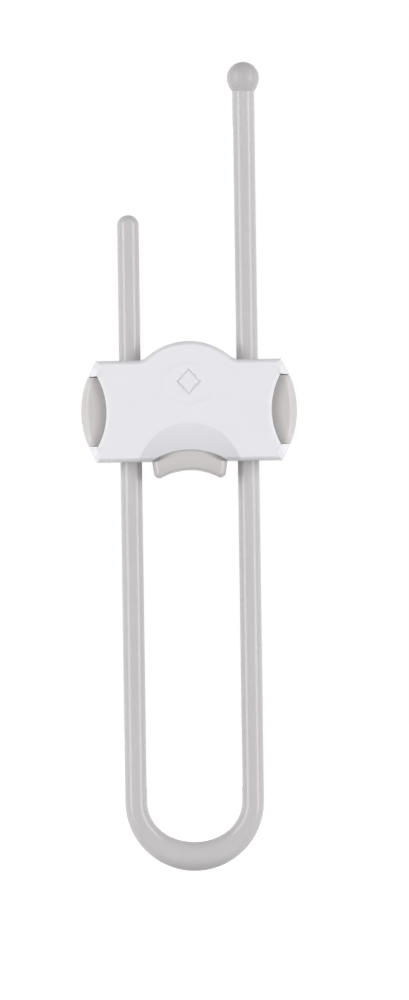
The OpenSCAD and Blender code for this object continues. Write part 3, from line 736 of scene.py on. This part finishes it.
def coverSolid(name, isFront):
    # the smooth outside of a cover, a hair under the CAD faces; the front one has the scoop and the dish
    h = housing
    sunk = h["faceY"] + h["halfDepth"]
    rows = cornersCut(h["rows"])
    rings = [coverOutline(share, *(inset + h["inset"] for inset in (outer, atButton, atTab)))
             for _, outer, share, atButton, atTab in rows]
    points = []
    for (y, *_), ring in zip(rows, rings):
        fade = smoothStep((h["fadeY"] - y) / h["fadeOver"]) if isFront else 0
        points += [(x, y + sunk + faceDepth(x, z) * fade, z + homeZ) for x, z in ring]
    faces = ringsToFaces(len(rings), len(rings[0]))
    addFill(points, faces, fillOutline(rings[0], faceSpots(rings[0]) if isFront else ()),
            lambda x, z: (x, h["faceY"] + (faceDepth(x, z) if isFront else 0), z + homeZ))
    addFill(points, faces, fillOutline(rings[-1]), lambda x, z: (x, rows[-1][0] + sunk, z + homeZ))
    return makePiece(name, points, faces, h["crease"])


def diamondLine():
    # a frame in the shape of a rhombus, which cuts the line in the dish
    h = housing
    w, t = h["diamondHalfW"], h["diamondHalfH"]
    side = math.hypot(w, t)
    inner = (w - h["lineWidth"] * side / t, t - h["lineWidth"] * side / w)
    floorY = h["faceY"] + h["dishRim"] + h["dishBowl"] * h["lineBowl"] + h["lineDeep"]
    middle = homeZ + h["diamondZ"]
    points = []
    for y in (h["lineFrom"], floorY):
        for a, b in ((w, t), inner):
            points += [(a, y, middle), (0, y, middle + b), (-a, y, middle), (0, y, middle - b)]
    faces = []
    for i in range(4):
        j = (i + 1) % 4
        faces += [(i, j, 4 + j, 4 + i), (8 + i, 8 + j, 12 + j, 12 + i),
                  (i, j, 8 + j, 8 + i), (4 + i, 4 + j, 12 + j, 12 + i)]
    return makePiece("line", points, faces)


def makeCover(name, node, isFront, material):
    # the smooth outside takes the CAD cover's own inside, ribs, bosses and bores
    piece = coverSolid(name, isFront)
    if not isFront:
        for v in piece.data.vertices:
            v.co.y = -v.co.y
        piece.data.flip_normals()
    core = copyOfNode(node)
    for v in core.data.vertices:  # its outer skin is moved off, so that only the smooth one is left
        if abs(v.co.y) > housing["skinY"] * mm:
            v.co.y += math.copysign(housing["skinOut"] * mm, v.co.y)
    combine(piece, core, "INTERSECT")
    if isFront:
        combine(piece, diamondLine(), "DIFFERENCE")
    tidyMesh(piece, housing["crease"], turnOutwards=False)
    dress(piece, material, "housing", node)


makeCover("cover_front", "front_cover", True, whiteFront)
makeCover("cover_rear", "rear_cover", False, whiteRear)


button = {
    "halfHeight": 11.25, "innerEndX": 29.8, "bow": 3.0, "faceDepth": 9.09, "crestDepth": 8.15,
    "crestIn": 1.9, "crestInEnd": 0.95, "crestPower": 2.2, "crestRound": 0.15, "swell": 0.02, "crease": 26,
    "bandHalf": 5.0, "innerRound": 0.5, "roundShare": 0.45,
    # where the crease's rounding ends, as shares of the outer facet's width and depth
    "creaseEnd": (0.16, 0.10),
    # points on the inner wall, its rounding, the face, the crease and the outer facet
    "wallSteps": 3, "roundSteps": 8, "faceSteps": 10, "creaseSteps": 5, "facetSteps": 7,
    # small steps towards each end, then the rounded end as distances from it and insets
    "stepFrom": 9.7, "stepPitch": 0.42, "steps": 4, "stepShare": 0.011, "stepHalf": 0.015, "stepRoom": 0.2,
    "endRound": ((0.16, 0.0), (0.05, 0.05), (0.0, 0.16)), "middleRows": 60, "middleRoom": 0.1,
    "pocketX": 29.25, "pocketEndX": 15, "pocketHalfY": 6.4, "pocketHalfZ": 4.05,
}


def buttonSection(z):
    # half a section, from the inner wall over the front to the outer band
    b = button
    radius = (b["halfHeight"] ** 2 + b["bow"] ** 2) / (2 * b["bow"])
    innerX = b["innerEndX"] - (math.sqrt(radius ** 2 - z * z) - (radius - b["bow"]))
    outerX = sideX(z, 1)
    crestX = outerX - b["crestInEnd"] - (b["crestIn"] - b["crestInEnd"]) * (1 - (z / b["halfHeight"]) ** 2)
    face, crest = b["faceDepth"], b["crestDepth"]
    r = min(b["innerRound"], b["roundShare"] * (crestX - innerX))
    points = [(innerX, -k * (face - r) / b["wallSteps"]) for k in range(b["wallSteps"])]
    for k in range(b["roundSteps"] + 1):
        t = math.pi / 2 * k / b["roundSteps"]
        points.append((innerX + r * (1 - math.cos(t)), -(face - r) - r * math.sin(t)))
    wide, start = crestX - innerX - r, innerX + r
    before = 1 - b["crestRound"] / wide
    for k in range(1, b["faceSteps"] + 1):
        sunk = (face - crest) * (before * k / b["faceSteps"]) ** b["crestPower"]
        points.append((start + wide * before * k / b["faceSteps"], -face + sunk))
    drop, (acrossShare, downShare) = crest - b["bandHalf"], b["creaseEnd"]
    a, c = points[-1], (crestX, -crest)
    d = (crestX + (outerX - crestX) * acrossShare, -crest + drop * downShare)
    for k in range(1, b["creaseSteps"] + 1):
        t = k / b["creaseSteps"]
        points.append(tuple((1 - t) ** 2 * a[i] + 2 * t * (1 - t) * c[i] + t * t * d[i] for i in (0, 1)))
    for k in range(1, b["facetSteps"] + 1):
        t = k / b["facetSteps"]
        swell = b["swell"] * math.sin(math.pi * t)
        points.append((d[0] + (outerX - d[0]) * (t + swell), d[1] + (-b["bandHalf"] - d[1]) * (t - swell)))
    points.append((outerX, -b["bandHalf"] / 2))
    return points


def buttonRows():
    # height, steps passed and inset of each section
    b = button
    ends = []
    for k in range(b["steps"]):
        z = b["stepFrom"] + b["stepPitch"] * k
        if z < b["halfHeight"] - b["stepRoom"]:
            ends += [(z - b["stepHalf"], k, 0.0), (z + b["stepHalf"], k + 1, 0.0)]
    last = ends[-1][1]
    ends += [(b["halfHeight"] - down, last, inset) for down, inset in b["endRound"]]
    reach = b["stepFrom"] - b["middleRoom"]
    middle = [(z, 0, 0.0) for z in np.linspace(-reach, reach, b["middleRows"])]
    return [(-z, k, i) for z, k, i in ends[::-1]] + middle + ends


def makeButton(name, body, node, side):
    b = button
    points, rows = [], buttonRows()
    for z, steps, inset in rows:
        half = buttonSection(z)
        loop = half + [(half[-1][0], 0.0)] + [(x, -y) for x, y in half[::-1] if y != 0]
        middle = (loop[0][0] + half[-1][0]) / 2
        shrink = 1 - b["stepShare"] * steps
        for x, y in loop:
            x, y = middle + (x - middle) * shrink, y * shrink
            length = math.hypot(x - middle, y)
            keep = 1 - inset / length if length > inset else 0
            points.append((side * (middle + (x - middle) * keep), y * keep, z + homeZ))
    size = len(points) // len(rows)
    faces = ringsToFaces(len(rows), size)
    faces += [tuple(range(size)), tuple(range(len(points) - size, len(points)))]
    piece = makePiece(name, points, faces, b["crease"])
    xs = sorted((side * b["pocketX"], side * b["pocketEndX"]))
    y, z = b["pocketHalfY"], b["pocketHalfZ"]
    combine(piece, makeBlock("pocket", (xs[0], -y, homeZ - z), (xs[1], y, homeZ + z)), "DIFFERENCE")
    tidyMesh(piece, b["crease"], turnOutwards=False)
    dress(piece, greySide, body, node)


makeButton("button_left", "left_squeeze", "left_button", -1)
makeButton("button_right", "right_squeeze", "right_button", 1)


tab = {
    "halfW": 12.4, "lowHalfW": 11.9, "drop": 5.5, "hollow": 2.6, "cornerR": 2.0, "lipTurn": 20,
    "hollowSteps": 40, "cornerSteps": 16, "roundSteps": 8, "crease": 30,
    "faceDepth": 9.09, "roundIn": 1.35, "roundDeep": 2.3, "inset": 0.015, "sideFrom": 7.0, "sideDraw": 1.2,
    # how far the front lies back under the housing's arch at its ends, and the share of it in the middle
    "archGap": 1.5, "archMiddle": 0.15, "archGapWide": 1.5, "archGapFrom": 4.5,
    "archRows": 9, "archFrom": -0.5, "archSteps": 60, "spotRoom": 0.1,
    # the block over the housing's edge, which the CAD tab bounds
    "wide": 17.0, "topZ": 0.0, "edgeRoom": 0.1, "edgeStep": 0.11, "edgeDraw": 0.02,
}


def tabOutline(inset):
    # the right half from the hollow's crown round the lower corner and up past the housing's edge
    t, bottom, onAxis = tab, -housing["topZ"], least["offAxis"]
    lowZ, r, turn = bottom - t["drop"], t["cornerR"], math.radians(t["lipTurn"])
    cx, cz, low = t["lowHalfW"] - r, lowZ + r, inset + t["inset"]
    lip = (cx - r * math.sin(turn), cz - r * math.cos(turn))
    hollow = bow((-lip[0], lip[1]), lip, lip[1] - lowZ - t["hollow"], t["hollowSteps"])
    corner = bowOfRadius(lip, (cx + r, cz), r, t["cornerSteps"])
    under, over = bottom - t["edgeRoom"], bottom + t["edgeRoom"]
    path = [(p, low) for p in hollow if p[0] > -onAxis] + [(p, low) for p in corner] + [((cx + r, cz), low)]
    path += [((t["halfW"] - t["edgeDraw"], under), low), ((t["halfW"], over), 0.0)]
    path += [((t["wide"], z), 0.0) for z in (bottom + t["edgeStep"], t["topZ"])] + [((0.0, t["topZ"]), 0.0)]
    return mirrored(path)


def tabSide(x, inset):
    # the outer sides roll off further in than the rest
    t = tab
    drawn = t["sideDraw"] * inset * smoothStep((abs(x) - t["sideFrom"]) / (t["halfW"] - t["sideFrom"]))
    return x - math.copysign(drawn, x)


def tabDrop(x, z):
    # the front sinks where it goes under the housing's arch, more so towards the arch's two ends
    h, t = housing, tab
    radius = (h["openingHalf"] ** 2 + h["openingRise"] ** 2) / (2 * h["openingRise"])
    height = math.sqrt(radius ** 2 - min(abs(x), h["openingHalf"]) ** 2)
    arch = -h["topZ"] + h["openingRise"] - radius + height
    share = smoothStep((abs(x) - t["archGapFrom"]) / (t["halfW"] - t["archGapFrom"]))
    deep = t["archGap"] * (t["archMiddle"] + (1 - t["archMiddle"]) * share)
    return deep * (1 - smoothStep((arch - z) / t["archGapWide"]))


def archSpots():
    h, t = housing, tab
    arch = bow((-t["halfW"], -h["topZ"]), (t["halfW"], -h["topZ"]), -h["openingRise"], t["archSteps"])
    rows = np.linspace(t["archFrom"], t["archGapWide"], t["archRows"])
    return [(x, z - down) for down in rows for x, z in arch]


def makeTab():
    t, n = tab, tab["roundSteps"]
    levels = []
    for k in range(n + 1):
        q = math.pi / 2 * k / n
        inset = t["roundIn"] * (1 - math.sin(q))
        levels.append((-t["faceDepth"] + t["roundDeep"] * (1 - math.cos(q)), inset))
    levels += [(-y, inset) for y, inset in levels[::-1]]
    rings = [tabOutline(inset) for _, inset in levels]
    points = [(tabSide(x, inset), y, z + homeZ) for (y, inset), ring in zip(levels, rings) for x, z in ring]
    face = [(tabSide(x, t["roundIn"]), z) for x, z in rings[0]]
    faces = ringsToFaces(len(rings), len(rings[0]))
    spots = [p for p in archSpots() if wellInside(face, *p, t["spotRoom"])]
    for y in (-t["faceDepth"], t["faceDepth"]):
        addFill(points, faces, fillOutline(face, spots),
                lambda x, z: (x, y - math.copysign(tabDrop(x, z), y), z + homeZ))
    piece = makePiece("push_tab", points, faces, t["crease"])
    combine(piece, copyOfNode("release_tab"), "INTERSECT")
    tidyMesh(piece, t["crease"], turnOutwards=False)
    dress(piece, greyTab, "tab", "release_tab")


makeTab()


screw = {
    # lengths, by the labels of the tree's inputs
    "lengths": {
        "Wide": 53.4, "High": 27.6, "Middle": homeZ, "Head Y": 0.9, "Head Radius": 1.58, "Rim Height": 0.9,
        "Dome Height": 0.45, "Dome Radius": 1.0, "Slot Long": 2.1, "Slot Wide": 0.46, "Slot Deep": 0.8,
        "Shank Radius": 0.72, "Length": 9.8, "Thread Radius": 0.11,
    },
    "pitch": 0.7, "threadShare": 0.85, "headSides": 48, "shankSides": 32, "turnSteps": 18, "threadSides": 4,
    "crease": 30, "seed": 4,
}


def screwTree(values):
    # a pan-head screw with a cross and a thread, set on the corners of a grid behind the rear cover
    s = screw
    tree, given, sink = newTree("cover screws", values)
    rim = shapeNode(tree, "MeshCylinder", vertices=s["headSides"], radius=given["Head Radius"],
                    depth=given["Rim Height"])
    dome = shapeNode(tree, "MeshCone", vertices=s["headSides"], radiusTop=given["Dome Radius"],
                     radiusBottom=given["Head Radius"], depth=given["Dome Height"])
    rim = moved(tree, rim, z=calc(tree, "DIVIDE", given["Rim Height"], 2.0))
    head = carved(tree, "UNION", rim, moved(tree, dome, z=given["Rim Height"]))
    top = calc(tree, "ADD", given["Rim Height"], given["Dome Height"])
    slotTall = calc(tree, "MULTIPLY", given["Slot Deep"], 2.0)
    slotSize = triple(tree, given["Slot Long"], given["Slot Wide"], slotTall)
    for turn in (0.0, math.pi / 2):
        slot = shapeNode(tree, "MeshCube", size=slotSize)
        head = carved(tree, "DIFFERENCE", head, moved(tree, slot, z=top, turn=(0, 0, turn)))
    shank = shapeNode(tree, "MeshCylinder", vertices=s["shankSides"], radius=given["Shank Radius"],
                      depth=given["Length"])
    shank = moved(tree, shank, z=calc(tree, "DIVIDE", given["Length"], -2.0))
    helix = shapeNode(tree, "CurveSpiral", resolution=s["turnSteps"], rotations=given["Turns"],
                      startRadius=given["Shank Radius"], endRadius=given["Shank Radius"],
                      height=calc(tree, "MULTIPLY", given["Length"], s["threadShare"]))
    helix = moved(tree, helix, z=calc(tree, "MULTIPLY", given["Length"], -1.0))
    ring = shapeNode(tree, "CurvePrimitiveCircle", resolution=s["threadSides"], radius=given["Thread Radius"])
    thread = shapeNode(tree, "CurveToMesh", curve=helix, profileCurve=ring, fillCaps=True)
    whole = tree.nodes.new("GeometryNodeJoinGeometry")
    for part in (head, shank, thread):
        tree.links.new(part, whole.inputs[0])
    grid = shapeNode(tree, "MeshGrid", sizeX=given["Wide"], sizeY=given["High"], verticesX=2, verticesY=2)
    places = moved(tree, grid, y=given["Head Y"], z=given["Middle"], turn=(math.pi / 2, 0, 0))
    chance = tree.nodes.new("FunctionNodeRandomValue")  # each screw stops at its own turn
    chance.data_type = "FLOAT"
    wire(tree, math.pi, chance.inputs[3])
    tree.links.new(given["Seed"], chance.inputs["Seed"])
    facing, stop = triple(tree, -math.pi / 2, 0.0, 0.0), triple(tree, 0.0, 0.0, chance.outputs[1])
    four = shapeNode(tree, "InstanceOnPoints", points=places, instance=whole.outputs[0], rotation=facing)
    finishTree(tree, shapeNode(tree, "RotateInstances", instances=four, rotation=stop), sink, screwSteel)
    return tree


def makeScrews():
    s = screw
    values = inMetres(s["lengths"])
    values["Turns"] = s["threadShare"] * s["lengths"]["Length"] / s["pitch"]
    values["Seed"] = s["seed"]
    piece = growTree("screws", screwTree(values), values)
    tidyMesh(piece, s["crease"], turnOutwards=False)
    dress(piece, screwSteel, "housing", "cover_screws")


makeScrews()


def coat(material, *names):
    for name in names:
        mesh = nodes[name].data
        mesh.materials.clear()
        mesh.materials.append(material)


coat(naturalAcetal, "left_latch", "right_latch", "left_pawl", "right_pawl")
coat(springSteel, "left_button_spring", "right_button_spring",
     "left_pawl_spring", "right_pawl_spring", "tab_spring")
coat(pinSteel, "pawl_pins")
print("CAD nodes coated")


# the studio's lengths are metres
studio = {
    "floorZ": -0.26, "floorHalf": 6.0, "floorGrey": 0.7, "floorRoughness": 0.9, "floorSpecular": 0.2,
    "floorGlow": 0.76, "stripDistance": 1.1, "stripWidth": 0.45, "stripHeight": 1.6,
    # angle from the front, power, and whether it shows in glossy surfaces
    "strips": {
        "strip_left": (-55, 7.0, True), "strip_right": (55, 7.1, True), "strip_rear": (180, 8.5, False),
    },
    # light of the sky: everywhere, more or less upwards, at the sides, and at both poles
    "skyAll": 0.96, "skyUp": 0.45, "skySides": 0.92, "skyPoles": -3.2,
    # the camera's sensor is in millimetres, its view the width that it sees, its roll in degrees
    "cameraX": 0.00464, "cameraZ": 0.09955, "cameraDistance": 1.6, "view": 0.33036, "sensor": 36, "roll": 0.815,
}


def makeFloor():
    s = studio
    half, z = s["floorHalf"] / mm, s["floorZ"] / mm
    corners = [(-half, -half, z), (half, -half, z), (half, half, z), (-half, half, z)]
    floor = makePiece("floor", corners, [(0, 1, 2, 3)])
    grey = [s["floorGrey"]] * 3
    material, tree, shader = newMaterial("floor_white", grey, s["floorRoughness"], s["floorSpecular"])
    shown = calc(tree, "MULTIPLY", seenDirectly(tree), s["floorGlow"])
    glow = newNode(tree, "ShaderNodeEmission", strength=shown)
    total = tree.nodes.new("ShaderNodeAddShader")
    tree.links.new(shader.outputs[0], total.inputs[0])
    tree.links.new(glow.outputs[0], total.inputs[1])
    tree.links.new(total.outputs[0], tree.nodes["Material Output"].inputs["Surface"])
    floor.data.materials.append(material)


def makeWorld():
    # white to the camera and in reflections; its soft light is strongest at the sides, weak over and under
    world = bpy.data.worlds.new("studio")
    bpy.context.scene.world = world
    world.use_nodes = True
    tree = world.node_tree
    tree.nodes.clear()
    across, _, up = partsOf(tree, tree.nodes.new("ShaderNodeTexCoord").outputs["Generated"])
    glow = calc(tree, "ADD", studio["skyAll"], calc(tree, "MULTIPLY", up, studio["skyUp"]))
    for part, strength in ((across, studio["skySides"]), (up, studio["skyPoles"])):
        square = calc(tree, "MULTIPLY", part, part)
        glow = calc(tree, "ADD", glow, calc(tree, "MULTIPLY", square, strength))
    glow = calc(tree, "MAXIMUM", glow, 0.0)
    seen = seenDirectly(tree)
    kept = calc(tree, "MULTIPLY", glow, calc(tree, "SUBTRACT", 1.0, seen))
    strength = calc(tree, "ADD", kept, seen)
    background = newNode(tree, "ShaderNodeBackground", color=(1, 1, 1, 1), strength=strength)
    newNode(tree, "ShaderNodeOutputWorld", surface=background.outputs[0])


def makeStrip(name, angle, power, shows):
    s, turn = studio, math.radians(angle)
    data = bpy.data.lights.new(name, "AREA")
    data.shape = "RECTANGLE"
    data.size, data.size_y, data.energy = s["stripWidth"], s["stripHeight"], power
    lamp = addObject(name, data)
    place = Vector((math.sin(turn), -math.cos(turn), 0)) * s["stripDistance"]
    lamp.location = place + Vector((0, 0, homeZ * mm))
    lamp.rotation_mode = "QUATERNION"
    lamp.rotation_quaternion = (-place).to_track_quat("-Z", "Y")
    lamp.visible_camera = False
    lamp.visible_glossy = shows


def makeCamera():
    s = studio
    data = bpy.data.cameras.new("camera")
    data.sensor_width = s["sensor"]
    data.lens = s["sensor"] * s["cameraDistance"] / s["view"]
    camera = addObject("camera", data)
    camera.location = (s["cameraX"], -s["cameraDistance"], s["cameraZ"])
    camera.rotation_euler = (math.radians(90), math.radians(s["roll"]), 0)
    bpy.context.scene.camera = camera


makeFloor()
makeWorld()
for name, values in studio["strips"].items():
    makeStrip(name, *values)
makeCamera()
bpy.context.scene.view_settings.view_transform = "Standard"
print("studio made")
